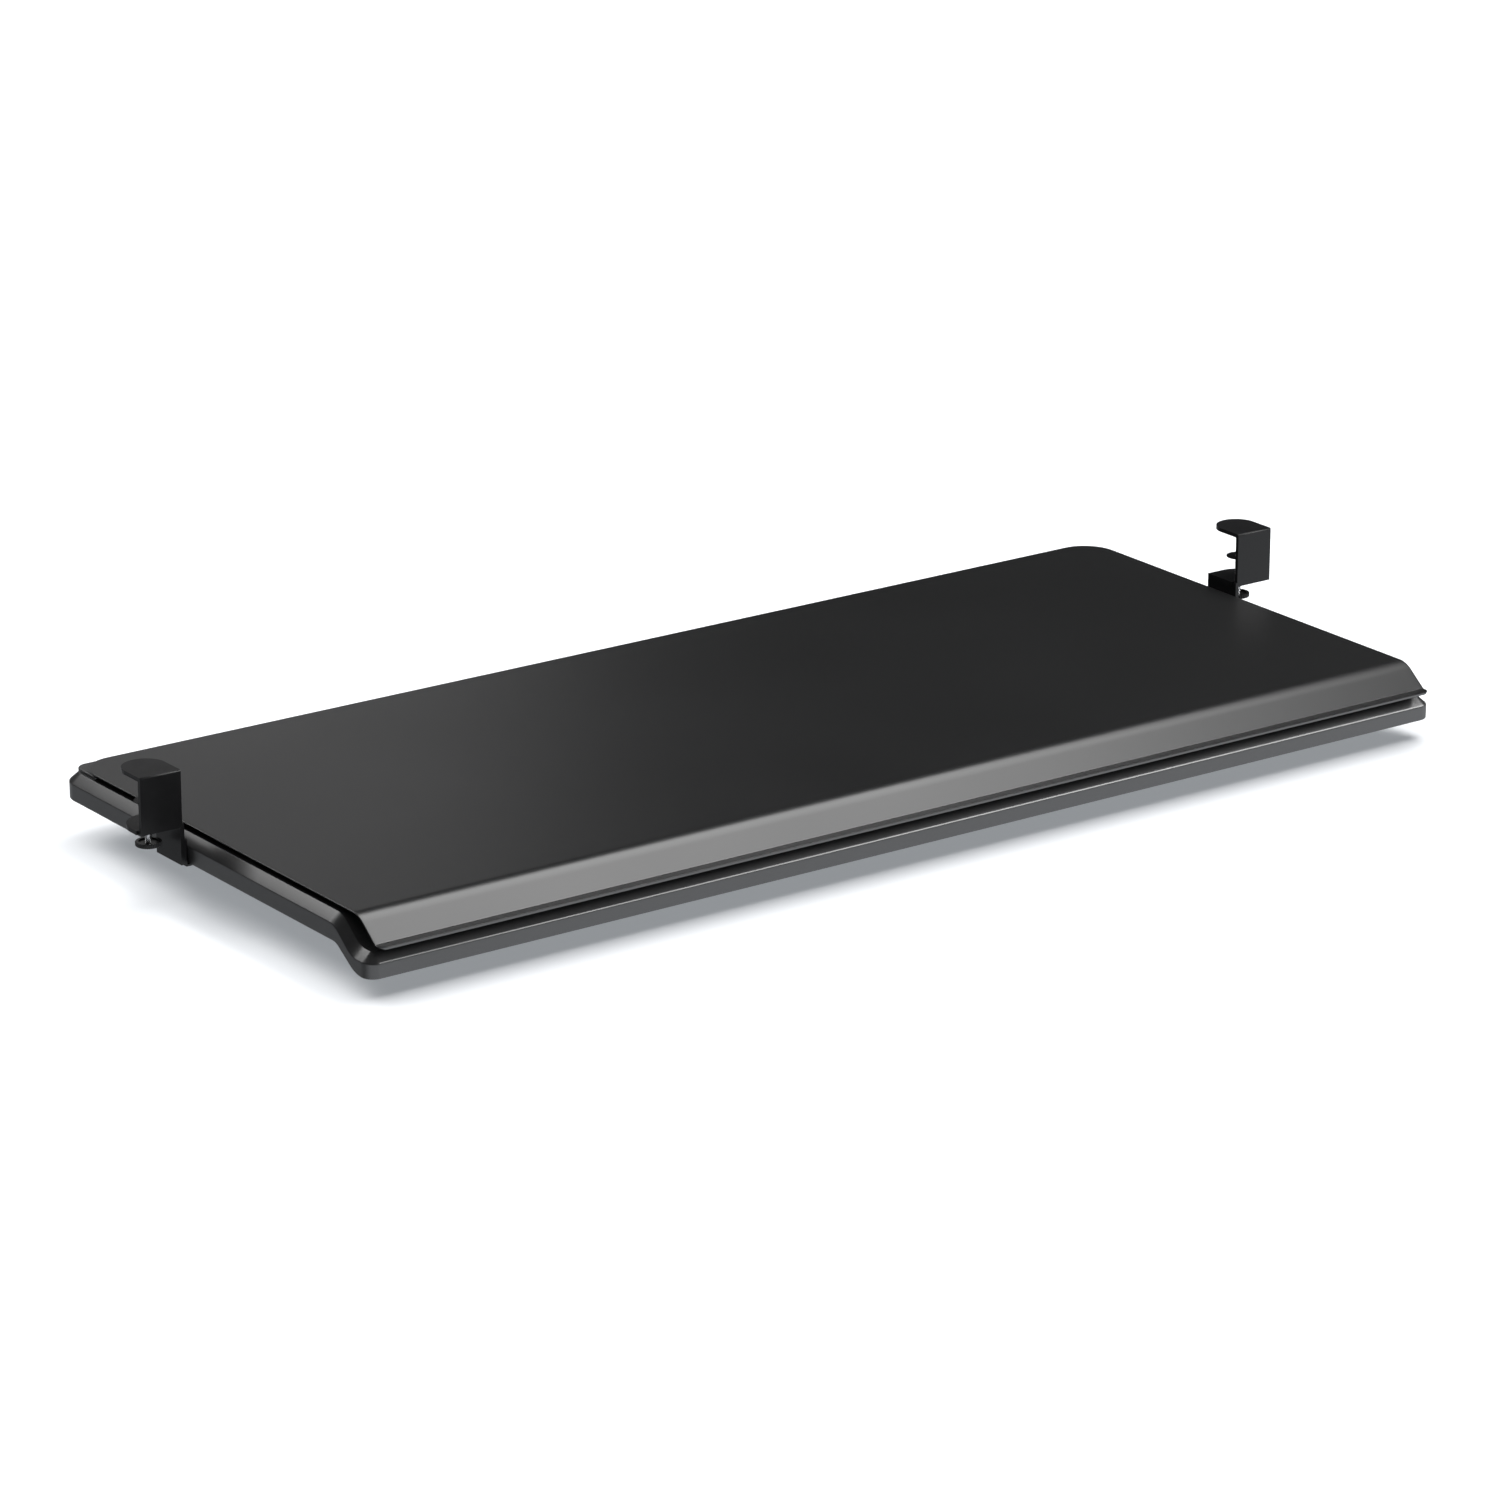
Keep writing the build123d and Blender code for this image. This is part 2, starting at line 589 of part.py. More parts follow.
# ---- slide arm, runner and glides (right side) ----
def glide_bounds():
    """The space a glide fills inside the track: inner x, low z, high z."""
    inner_x = TRACK_WEB_X + TRACK_SHEET + SLIDE_GAP
    low_z = TRACK_BOTTOM_Z + TRACK_SHEET + SLIDE_GAP
    high_z = TRACK_TOP_Z - TRACK_SHEET - SLIDE_GAP
    return inner_x, low_z, high_z


def make_slide_arm():
    """A Z-shaped steel arm: down the clamp's flange, under the drawer's wall, up to the runner."""
    floor_top = ARM_BOTTOM_Z + ARM_FLOOR_SHEET
    outer = box(FLANGE_INNER_X - ARM_SHEET, FLANGE_INNER_X, -STEEL, TONGUE_BACK_Y,
                ARM_BOTTOM_Z, ARM_TOP_OUTER_Z)
    floor = box(ARM_INNER_X, FLANGE_INNER_X, -STEEL, TONGUE_BACK_Y, ARM_BOTTOM_Z, floor_top)
    inner = box(ARM_INNER_X, ARM_INNER_X + ARM_SHEET, -STEEL, TONGUE_BACK_Y,
                ARM_BOTTOM_Z, ARM_TOP_INNER_Z)
    arm = outer + floor + inner
    bends = []
    for edge in arm.edges().filter_by(Axis.Y):
        if edge.center().Z < ARM_BOTTOM_Z + 0.01:
            bends.append(edge)
    arm = fillet(bends, ARM_BEND_R)
    for y in RIVET_Y:
        arm = arm - pin_x(FLANGE_INNER_X - ARM_SHEET - OVERCUT, FLANGE_INNER_X + OVERCUT, y,
                          RIVET_Z, RIVET_R)
    for y in RUNNER_SCREW_Y:
        arm = arm - pin_x(ARM_INNER_X - OVERCUT, ARM_INNER_X + ARM_SHEET + OVERCUT, y,
                          track_middle_z(), ARM_HOLE_R)
    return arm


def make_arm_rivets():
    rivets = []
    for y in RIVET_Y:
        rivets.append(pin_x(FLANGE_INNER_X - ARM_SHEET, FLANGE_INNER_X + STEEL, y, RIVET_Z,
                            RIVET_R - FIT_GAP))
    return rivets + [mirrored(r) for r in rivets]


def make_runner():
    inner_x, low_z, high_z = glide_bounds()
    bar = box(inner_x + GLIDE_WALL, ARM_INNER_X, RUNNER_FRONT_Y + GLIDE_END,
              RUNNER_BACK_Y - GLIDE_END, low_z + GLIDE_WALL, high_z - GLIDE_WALL)
    for y in RUNNER_SCREW_Y:
        bar = bar - pin_x(ARM_INNER_X - RUNNER_HOLE_LENGTH, ARM_INNER_X + OVERCUT, y,
                          track_middle_z(), RUNNER_SCREW_R + PILOT_GAP)
    return bar


def make_runner_screws():
    screws = []
    face_x = ARM_INNER_X + ARM_SHEET
    for y in RUNNER_SCREW_Y:
        z = track_middle_z()
        shank = pin_x(ARM_INNER_X - RUNNER_SCREW_LENGTH, face_x + FIT_GAP, y, z,
                      RUNNER_SCREW_R)
        head = pin_x(face_x, face_x + RUNNER_HEAD_HEIGHT, y, z, RUNNER_HEAD_R)
        head = fillet(head.edges().filter_by(GeomType.CIRCLE).sort_by(Axis.X)[-1],
                      SCREW_HEAD_ROUND)
        slot_x = face_x + RUNNER_HEAD_HEIGHT
        floor_x = slot_x - RUNNER_SLOT_DEPTH
        length = RUNNER_SLOT_LENGTH / 2
        width = RUNNER_SLOT_WIDTH / 2
        slot = box(floor_x, slot_x, y - length, y + length, z - width, z + width)
        slot = slot + box(floor_x, slot_x, y - width, y + width, z - length, z + length)
        screws.append(shank + head - slot)
    return screws + [mirrored(s) for s in screws]


def make_glides():
    """Nylon caps over both ends of the runner bar."""
    inner_x, low_z, high_z = glide_bounds()
    bar = make_runner()
    glides = []
    for start, end in ((RUNNER_FRONT_Y, RUNNER_FRONT_Y + GLIDE_LENGTH),
                       (RUNNER_BACK_Y - GLIDE_LENGTH, RUNNER_BACK_Y)):
        cap = box(inner_x, ARM_INNER_X, start, end, low_z, high_z)
        glides.append(cap - bar)
    return glides


save("base_tray", make_base_tray())
save("top_panel", make_top_panel())
save("panel_screws", *make_panel_screws())
save_pair("track", make_track())
save("track_screws", *make_track_screws())
save_pair("bumpers", *make_bumpers())
save_pair("bracket", make_bracket())
save_pair("clamp_nut", make_clamp_nut())
save_pair("clamp_screw", make_clamp_screw())
save_pair("knob", make_knob())
save_pair("pad", make_pad())
save_pair("slide_arm", make_slide_arm())
save("arm_rivets", *make_arm_rivets())
save_pair("runner", make_runner())
save("runner_screws", *make_runner_screws())
save_pair("glides", *make_glides())
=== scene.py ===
import json
import math

import bmesh
import bpy
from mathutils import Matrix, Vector


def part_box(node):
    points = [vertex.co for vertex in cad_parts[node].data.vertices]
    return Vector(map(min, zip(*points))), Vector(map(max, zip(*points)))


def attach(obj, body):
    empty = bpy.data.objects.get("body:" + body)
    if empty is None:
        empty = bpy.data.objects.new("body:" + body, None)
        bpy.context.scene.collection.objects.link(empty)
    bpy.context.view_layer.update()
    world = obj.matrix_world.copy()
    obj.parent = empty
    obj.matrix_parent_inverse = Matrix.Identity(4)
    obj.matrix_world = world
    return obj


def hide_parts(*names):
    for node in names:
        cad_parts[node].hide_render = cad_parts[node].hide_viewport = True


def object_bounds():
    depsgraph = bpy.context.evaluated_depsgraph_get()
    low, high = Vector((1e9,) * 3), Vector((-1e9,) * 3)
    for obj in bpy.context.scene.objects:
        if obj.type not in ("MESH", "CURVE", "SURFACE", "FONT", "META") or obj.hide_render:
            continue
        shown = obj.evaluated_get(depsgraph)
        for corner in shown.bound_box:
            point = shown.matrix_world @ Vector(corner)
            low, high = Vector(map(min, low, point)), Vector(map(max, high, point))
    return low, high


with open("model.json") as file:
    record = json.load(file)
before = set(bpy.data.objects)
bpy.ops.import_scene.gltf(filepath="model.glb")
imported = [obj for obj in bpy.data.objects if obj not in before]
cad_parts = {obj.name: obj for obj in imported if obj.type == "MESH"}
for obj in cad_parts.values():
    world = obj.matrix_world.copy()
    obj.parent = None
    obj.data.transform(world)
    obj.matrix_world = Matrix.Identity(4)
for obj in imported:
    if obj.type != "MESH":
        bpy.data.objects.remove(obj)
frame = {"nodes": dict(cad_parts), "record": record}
CAD_LOW, CAD_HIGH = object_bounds()

MM = 0.001

# ---- driving values, in millimetres and degrees, read from the frame where it says them ----
TRAY_LOW, TRAY_HIGH = [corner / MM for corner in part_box("base_tray")]
PANEL_LOW, PANEL_HIGH = [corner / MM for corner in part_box("top_panel")]
SCREW_LOW, SCREW_HIGH = [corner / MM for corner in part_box("right_clamp_screw")]
TRACK_TOP_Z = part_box("right_track")[1].z / MM
PAD_BOTTOM_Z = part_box("right_pad")[0].z / MM

SHELL_WALL = 2.5
DECK_TOP_Z = TRACK_TOP_Z + SHELL_WALL
CHAMFER_RUN = 6.0
CHAMFER_DROP = 5.3
REAR_CORNER_R = 17.0
FRONT_CORNER_R = 8.0
NOSE_START_Y = -153.7
NOSE_DROP = 14.0
NOSE_CONVEX_R = 15.5
NOSE_CONCAVE_R = 17.0
NOSE_SLOPE = 38.0
SKIRT_START_Y = -157.1
SKIRT_BOTTOM_Z = -55.3
SKIRT_DROP = 12.9
SKIRT_CONVEX_R = 12.0
SKIRT_CONCAVE_R = 20.0
SKIRT_SLOPE = 33.0
SIDE_STATIONS = [-100, -50, 0, 50, 100]

LEDGE_HALF_WIDTH = 382.2
LEDGE_FRONT_Y = 116.0
LEDGE_BACK_Y = 142.4
LEDGE_TOP_Z = -38.0
LEDGE_FRONT_CORNER_R = 1.5
LEDGE_REAR_CORNER_R = 8.0

RIB_HALF_THICKNESS = 1.0
RIB_BOTTOM_Z = -48.5
RIB_HALF_WIDTH = 362
RIB_X = [-RIB_HALF_WIDTH, -255, -85, 85, 255, RIB_HALF_WIDTH]
CROSS_RIB_Y = [-95, -35, 25, 75]
NOSE_RIB_X = RIB_X + [-170, 0, 170]
NOSE_RIB_LIFT = 2.0
# Pieces that join the shell reach this far into it.
OVERLAP = 1.0
TRACK_SCREW_X = 374.5
TRACK_SCREW_Y = [-140, -50, 40, 112]
TRACK_PAD_R = 4.5
TRACK_PAD_TOP_Z = -37.1

PANEL_THICKNESS = 1.8
PANEL_BEND_Y = -170.2
PANEL_DROP = 13.1
PANEL_CONVEX_R = 17.4
PANEL_CONCAVE_R = 1.2
PANEL_SLOPE = 38.0
PANEL_REAR_R = 22.0
PANEL_FRONT_R = 5.0
PANEL_UNDERCUT = 1.3
BOSS_X = [-340, -170, 0, 170, 340]
BOSS_Y = [-120, 100]
BOSS_R = 4.0

THREAD_CREST_R = 2.0
THREAD_ROOT_R = 1.62
THREAD_PITCH = 0.7
THREAD_ROWS_PER_TURN = 8
SCREW_TIP_R = 1.5
NECK_R = 1.25
ROUND_SEGMENTS = 32

FLOOR_GAP = 13.0
FLOOR_REACH = 30000.0
SIDE_NAMES = {-1: "left", 1: "right"}


# ---- small geometry helpers ----
def make_object(name, vertices, faces, smooth_angle=35.0):
    """A mesh piece from points in millimetres, shaded smooth below the given angle."""
    mesh = bpy.data.meshes.new(name)
    mesh.from_pydata([Vector(v) * MM for v in vertices], [], faces)
    work = bmesh.new()
    work.from_mesh(mesh)
    bmesh.ops.remove_doubles(work, verts=work.verts, dist=1e-7)
    bmesh.ops.recalc_face_normals(work, faces=work.faces)
    work.to_mesh(mesh)
    work.free()
    mesh.shade_smooth()
    mesh.set_sharp_from_angle(angle=math.radians(smooth_angle))
    piece = bpy.data.objects.new(name, mesh)
    bpy.context.scene.collection.objects.link(piece)
    return piece


def s_profile(start_y, level, drop, convex_r, concave_r, slope):
    """A height function that is level, then falls forward through an S, then is level again."""
    angle = math.radians(slope)
    lost = 1 - math.cos(angle)
    straight = drop - (convex_r + concave_r) * lost
    slope_start = start_y - convex_r * math.sin(angle)
    slope_end = slope_start - straight / math.tan(angle)
    end_y = slope_end - concave_r * math.sin(angle)

    def height(y):
        if y >= start_y:
            return level
        if y >= slope_start:
            return level - convex_r + math.sqrt(convex_r ** 2 - (start_y - y) ** 2)
        if y >= slope_end:
            return level - convex_r * lost - (slope_start - y) * math.tan(angle)
        if y >= end_y:
            return level - drop + concave_r - math.sqrt(concave_r ** 2 - (y - end_y) ** 2)
        return level - drop

    return height


def rounded_corners(points, radii, steps=5):
    """The 2-D polyline with each inner corner replaced by an arc of the given radius."""
    path = [Vector(points[0])]
    for i in range(1, len(points) - 1):
        corner = Vector(points[i])
        back = (Vector(points[i - 1]) - corner).normalized()
        ahead = (Vector(points[i + 1]) - corner).normalized()
        turn = math.pi - back.angle(ahead)
        radius = radii[i - 1]
        if radius <= 0 or turn < 1e-4:
            path.append(corner)
            continue
        tangent = radius * math.tan(turn / 2)
        start = corner + back * tangent
        middle = corner + (back + ahead).normalized() * (radius / math.cos(turn / 2))
        first = math.atan2(start.y - middle.y, start.x - middle.x)
        end = corner + ahead * tangent
        last = math.atan2(end.y - middle.y, end.x - middle.x)
        sweep = (last - first + math.pi) % (2 * math.pi) - math.pi
        for k in range(steps + 1):
            a = first + sweep * k / steps
            path.append(middle + Vector((math.cos(a), math.sin(a))) * radius)
    path.append(Vector(points[-1]))
    return path


def half_outline(half_width, front_y, back_y, front_r, rear_r, stations):
    """Plan points and outward normals of the right half, from the front edge to the back edge."""
    points = []
    steps = 10
    for k in range(steps + 1):
        a = -math.pi / 2 + math.pi / 2 * k / steps
        normal = Vector((math.cos(a), math.sin(a)))
        centre = Vector((half_width - front_r, front_y + front_r))
        points.append((centre + normal * front_r, normal))
    for y in sorted(stations):
        if front_y + front_r + 0.3 < y < back_y - rear_r - 0.3:
            points.append((Vector((half_width, y)), Vector((1, 0))))
    steps = 16
    for k in range(steps + 1):
        a = math.pi / 2 * k / steps
        normal = Vector((math.cos(a), math.sin(a)))
        centre = Vector((half_width - rear_r, back_y - rear_r))
        points.append((centre + normal * rear_r, normal))
    return points


class RingShell:
    """A closed shell symmetric about X = 0, made of plan rings that step inwards and up or down."""

    def __init__(self, outline):
        self.outline = outline
        self.count = len(outline)
        self.vertices = []
        self.faces = []
        self.rings = []

    def ring(self, inward, height, lift=lambda normal: 0.0):
        """Adds a ring inward(normal) from the outline, at the level height(y) + lift(normal)."""
        first = len(self.vertices)
        right = []
        for point, normal in self.outline:
            place = point - normal * inward(normal)
            right.append(Vector((place.x, place.y, height(place.y) + lift(normal))))
        left = [Vector((-p.x, p.y, p.z)) for p in reversed(right)]
        self.vertices.extend(right + left)
        if self.rings:
            last = self.rings[-1]
            total = 2 * self.count
            for i in range(total):
                j = (i + 1) % total
                self.faces.append((last + i, last + j, first + j, first + i))
        self.rings.append(first)

    def fill(self, first):
        """Closes a ring with strips that run straight across from right to left."""
        total = 2 * self.count
        for i in range(self.count - 1):
            a = first + i
            b = first + i + 1
            self.faces.append((a, b, first + total - 2 - i, first + total - 1 - i))

    def close_ends(self):
        """Fills the first and the last ring."""
        self.fill(self.rings[0])
        self.fill(self.rings[-1])


def constant(value):
    return lambda normal: value


def tapered(side, front):
    """A distance that is one value along the sides and back, and another along the front."""
    return lambda normal: side + (front - side) * max(0.0, -normal.y)


def add_box(vertices, faces, low, high):
    """Adds an upright box to a growing mesh."""
    first = len(vertices)
    for z in (low[2], high[2]):
        for x, y in ((low[0], low[1]), (high[0], low[1]), (high[0], high[1]), (low[0], high[1])):
            vertices.append(Vector((x, y, z)))
    for quad in ((0, 3, 2, 1), (4, 5, 6, 7), (0, 1, 5, 4), (1, 2, 6, 5), (2, 3, 7, 6), (3, 0, 4, 7)):
        faces.append(tuple(first + k for k in quad))


def add_strip(vertices, faces, ys, low, high, x0, x1):
    """Adds a wall between two heights along Y, from x0 to x1."""
    first = len(vertices)
    for y in ys:
        for x, z in ((x0, low(y)), (x1, low(y)), (x1, high(y)), (x0, high(y))):
            vertices.append(Vector((x, y, z)))
    for i in range(len(ys) - 1):
        for k in range(4):
            a = first + 4 * i + k
            b = first + 4 * i + (k + 1) % 4
            faces.append((a, b, b + 4, a + 4))
    faces.append((first, first + 3, first + 2, first + 1))
    last = first + 4 * (len(ys) - 1)
    faces.append((last, last + 1, last + 2, last + 3))


def add_lathe(vertices, faces, x, y, profile, segments=ROUND_SEGMENTS):
    """Adds a turned shape about an upright axis. profile is (radius, z) from bottom to top."""
    first = len(vertices)
    for radius, z in profile:
        for k in range(segments):
            a = 2 * math.pi * k / segments
            vertices.append(Vector((x + radius * math.cos(a), y + radius * math.sin(a), z)))
    for i in range(len(profile) - 1):
        for k in range(segments):
            a = first + i * segments + k
            b = first + i * segments + (k + 1) % segments
            faces.append((a, b, b + segments, a + segments))
    faces.append(tuple(first + k for k in reversed(range(segments))))
    top = first + (len(profile) - 1) * segments
    faces.append(tuple(top + k for k in range(segments)))


# ---- drawer: base tray ----
deck_height = s_profile(NOSE_START_Y, DECK_TOP_Z, NOSE_DROP, NOSE_CONVEX_R, NOSE_CONCAVE_R,
                        NOSE_SLOPE)
skirt_height = s_profile(SKIRT_START_Y, SKIRT_BOTTOM_Z, SKIRT_DROP, SKIRT_CONVEX_R,
                         SKIRT_CONCAVE_R, SKIRT_SLOPE)


def nose_stations():
    """Close plan stations through the nose, and a few along the straight sides."""
    near = [NOSE_START_Y + 4 - 1.1 * k for k in range(38)]
    return near + [-140] + SIDE_STATIONS


def make_base_tray():
    """The tray's shell, in rings from its inner wall, round the skirt and up to the deck."""
    outline = half_outline(TRAY_HIGH.x, TRAY_LOW.y, TRAY_HIGH.y, FRONT_CORNER_R, REAR_CORNER_R,
                           nose_stations())
    shell = RingShell(outline)
    pitch = math.atan2(CHAMFER_DROP, CHAMFER_RUN)
    inner_run = CHAMFER_RUN - SHELL_WALL * (1 - math.tan(pitch / 2))
    inner_fall = inner_run * CHAMFER_DROP / CHAMFER_RUN

    def skirt(lift):
        return lambda y: skirt_height(y) + lift

    def deck(fall):
        return lambda y: deck_height(y) + fall

    under = [(SHELL_WALL + inner_run + 1.0, -SHELL_WALL), (SHELL_WALL + inner_run, -SHELL_WALL),
             (SHELL_WALL, -SHELL_WALL - inner_fall), (SHELL_WALL, -SHELL_WALL - inner_fall - 1.0)]
    for point in rounded_corners(under, [0.5, 0.5], 2):
        shell.ring(constant(point.x), deck(point.y))
    lower = [(SHELL_WALL, 1.5), (SHELL_WALL, 0), (0, 0), (0, 1.5)]
    for point in rounded_corners(lower, [0.5, 0.8], 4):
        shell.ring(constant(point.x), skirt(point.y))
    upper = [(0, -CHAMFER_DROP - 2.0), (0, -CHAMFER_DROP), (CHAMFER_RUN, 0), (CHAMFER_RUN + 1.2, 0)]
    side_edge = rounded_corners(upper, [0.8, 0.7], 6)
    front_edge = rounded_corners(upper, [2.0, 0.9], 6)
    for side, front in zip(side_edge, front_edge):
        shell.ring(tapered(side.x, front.x), deck(0), tapered(side.y, front.y))
    shell.close_ends()
    return make_object("base_tray_shell", shell.vertices, shell.faces, 50)


def make_tray_ledge():
    """The raised rest along the back of the deck, under the panel's rear edge."""
    outline = half_outline(LEDGE_HALF_WIDTH, LEDGE_FRONT_Y, LEDGE_BACK_Y, LEDGE_FRONT_CORNER_R,
                           LEDGE_REAR_CORNER_R, [])
    shell = RingShell(outline)
    profile = [(0, DECK_TOP_Z - OVERLAP), (0, LEDGE_TOP_Z), (1.6, LEDGE_TOP_Z)]
    for point in rounded_corners(profile, [0.7], 4):
        shell.ring(constant(max(point.x, 0)), lambda y, z=point.y: z)
    shell.close_ends()
    return make_object("base_tray_ledge", shell.vertices, shell.faces, 50)


def make_tray_ribs():
    """Stiffening ribs under the deck and inside the nose, and the pads for the track screws."""
    vertices = []
    faces = []
    half = RIB_HALF_THICKNESS
    deck_inside = DECK_TOP_Z - OVERLAP
    chamfer_foot = TRAY_HIGH.y - CHAMFER_RUN - 1.5
    back_wall = TRAY_HIGH.y - 1.5
    for x in RIB_X:
        add_box(vertices, faces, (x - half, NOSE_START_Y, RIB_BOTTOM_Z),
                (x + half, chamfer_foot, deck_inside))
        add_box(vertices, faces, (x - half, chamfer_foot, RIB_BOTTOM_Z),
                (x + half, back_wall, deck_inside - CHAMFER_DROP))
    for y in CROSS_RIB_Y:
        add_box(vertices, faces, (-RIB_HALF_WIDTH, y - half, RIB_BOTTOM_Z),
                (RIB_HALF_WIDTH, y + half, deck_inside))
    count = 24
    front = TRAY_LOW.y + CHAMFER_RUN + 0.5
    stations = [front + (NOSE_START_Y - front) * k / count for k in range(count + 1)]
    for x in NOSE_RIB_X:
        add_strip(vertices, faces, stations, lambda y: skirt_height(y) + NOSE_RIB_LIFT,
                  lambda y: deck_height(y) - OVERLAP, x - half, x + half)
    pad = [(TRACK_PAD_R, deck_inside), (TRACK_PAD_R, TRACK_PAD_TOP_Z - 0.3),
           (TRACK_PAD_R - 0.3, TRACK_PAD_TOP_Z)]
    for side in SIDE_NAMES:
        for y in TRACK_SCREW_Y:
            add_lathe(vertices, faces, side * TRACK_SCREW_X, y, pad)
    return make_object("base_tray_ribs", vertices, faces, 40)


# ---- drawer: top panel ----
panel_top = s_profile(PANEL_BEND_Y, PANEL_HIGH.z, PANEL_DROP, PANEL_CONVEX_R, PANEL_CONCAVE_R,
                      PANEL_SLOPE)
panel_under = s_profile(PANEL_BEND_Y, PANEL_HIGH.z - PANEL_THICKNESS, PANEL_DROP,
                        PANEL_CONVEX_R - PANEL_THICKNESS, PANEL_CONCAVE_R + PANEL_THICKNESS,
                        PANEL_SLOPE)


def make_top_panel():
    """The thin sheet, with close stations through its bend and its crease."""
    bend = [PANEL_BEND_Y + 2 - 0.6 * k for k in range(36)]
    crease = [PANEL_BEND_Y - 22 - 0.15 * k for k in range(13)]
    stations = bend + crease + [-150] + SIDE_STATIONS
    outline = half_outline(PANEL_HIGH.x, PANEL_LOW.y, PANEL_HIGH.y, PANEL_FRONT_R, PANEL_REAR_R,
                           stations)
    shell = RingShell(outline)

    def top(fall):
        return lambda y: panel_top(y) + fall

    def under(lift):
        return lambda y: panel_under(y) + lift

    shell.ring(constant(3.0), under(0))
    shell.ring(tapered(PANEL_UNDERCUT + 0.2, 0.9), under(0))
    shell.ring(tapered(PANEL_UNDERCUT, 0.45), under(0.08))
    shell.ring(tapered(PANEL_UNDERCUT * 0.55, 0.15), under(0.75))
    edge = [(0, -0.5), (0, 0), (2.0, 0)]
    for point in rounded_corners(edge, [0.35], 6):
        shell.ring(constant(max(point.x, 0)), top(point.y))
    shell.ring(constant(3.4), top(0))
    shell.close_ends()
    return make_object("top_panel_sheet", shell.vertices, shell.faces, 50)


def make_panel_bosses():
    """The round bosses under the panel that its screws go into."""
    vertices = []
    faces = []
    underside = PANEL_HIGH.z - PANEL_THICKNESS
    profile = [(BOSS_R - 0.2, DECK_TOP_Z + 0.01), (BOSS_R, DECK_TOP_Z + 0.3),
               (BOSS_R, underside - 0.4), (BOSS_R + 0.6, underside + 0.1)]
    for x in BOSS_X:
        for y in BOSS_Y:
            add_lathe(vertices, faces, x, y, profile)
    return make_object("top_panel_bosses", vertices, faces, 40)


# ---- clamps: threaded screws ----
def make_clamp_screw(side):
    """A clamp screw with a real helical thread, a plain neck and a peened head in the pad."""
    vertices = []
    faces = []
    x = side * (SCREW_LOW.x + SCREW_HIGH.x) / 2
    y = (SCREW_LOW.y + SCREW_HIGH.y) / 2
    root = THREAD_ROOT_R
    segments = ROUND_SEGMENTS
    low = SCREW_LOW.z + 0.3
    high = PAD_BOTTOM_Z - 0.4
    rows = int((high - low) / THREAD_PITCH * THREAD_ROWS_PER_TURN)
    tip = [(SCREW_TIP_R, SCREW_LOW.z), (root, low), (root, low + 0.01)]
    add_lathe(vertices, faces, x, y, tip)
    first = len(vertices)
    for row in range(rows + 1):
        z = low + (high - low) * row / rows
        for k in range(segments):
            turn = k / segments
            phase = ((z - low) / THREAD_PITCH - turn) % 1.0
            rise = 1.0 - abs(2.0 * phase - 1.0)
            radius = root + (THREAD_CREST_R - root) * min(1.0, 1.5 * rise)
            a = 2 * math.pi * turn
            vertices.append(Vector((x + radius * math.cos(a), y + radius * math.sin(a), z)))
    for row in range(rows):
        for k in range(segments):
            a = first + row * segments + k
            b = first + row * segments + (k + 1) % segments
            faces.append((a, b, b + segments, a + segments))
    faces.append(tuple(first + k for k in reversed(range(segments))))
    last = first + rows * segments
    faces.append(tuple(last + k for k in range(segments)))
    head = SCREW_HIGH.z
    neck = [(root, high - 0.01), (NECK_R, high + 0.2), (NECK_R, head - 0.35), (1.95, head - 0.3),
            (2.1, head - 0.22), (2.0, head - 0.1), (1.5, head - 0.02), (0.6, head)]
    add_lathe(vertices, faces, x, y, neck)
    return make_object(SIDE_NAMES[side] + "_thread", vertices, faces, 40)


def soften(node_name, width, segments=2, angle=35.0):
    """Rounds the sharp edges of a CAD node's mesh, in millimetres."""
    piece = frame["nodes"][node_name]
    weld = piece.modifiers.new("weld", "WELD")
    weld.merge_threshold = 1e-6
    bevel = piece.modifiers.new("bevel", "BEVEL")
    bevel.width = width * MM
    bevel.segments = segments
    bevel.limit_method = "ANGLE"
    bevel.angle_limit = math.radians(angle)
    bevel.use_clamp_overlap = True
    bevel.harden_normals = True


SIDE_EDGE_WIDTHS = {
    "bracket": 0.15,
    "slide_arm": 0.2,
    "clamp_nut": 0.25,
    "pad": 0.12,
    "track": 0.2,
    "runner": 0.3,
    "glides": 0.25,
    "bumpers": 0.3,
}
FASTENER_EDGE_WIDTH = 0.08


def soften_cad_nodes():
    """Rounds the edges of the CAD nodes that stay in view."""
    for side_name in SIDE_NAMES.values():
        for part_name, width in SIDE_EDGE_WIDTHS.items():
            soften(side_name + "_" + part_name, width)
    for name in ("arm_rivets", "runner_screws", "panel_screws", "track_screws"):
        soften(name, FASTENER_EDGE_WIDTH)


# ---- materials ----
def new_material(name, color, roughness, metallic=0.0, specular=0.5):
    material = bpy.data.materials.new(name)
    material.use_nodes = True
    shader = material.node_tree.nodes["Principled BSDF"]
    shader.inputs["Base Color"].default_value = (*color, 1)
    shader.inputs["Roughness"].default_value = roughness
    shader.inputs["Metallic"].default_value = metallic
    shader.inputs["Specular IOR Level"].default_value = specular
    return material, material.node_tree, shader


def noise(tree, scale, detail=2.0, roughness=0.5):
    coordinates = tree.nodes.new("ShaderNodeTexCoord")
    texture = tree.nodes.new("ShaderNodeTexNoise")
    texture.inputs["Scale"].default_value = scale
    texture.inputs["Detail"].default_value = detail
    texture.inputs["Roughness"].default_value = roughness
    tree.links.new(coordinates.outputs["Object"], texture.inputs["Vector"])
    return texture


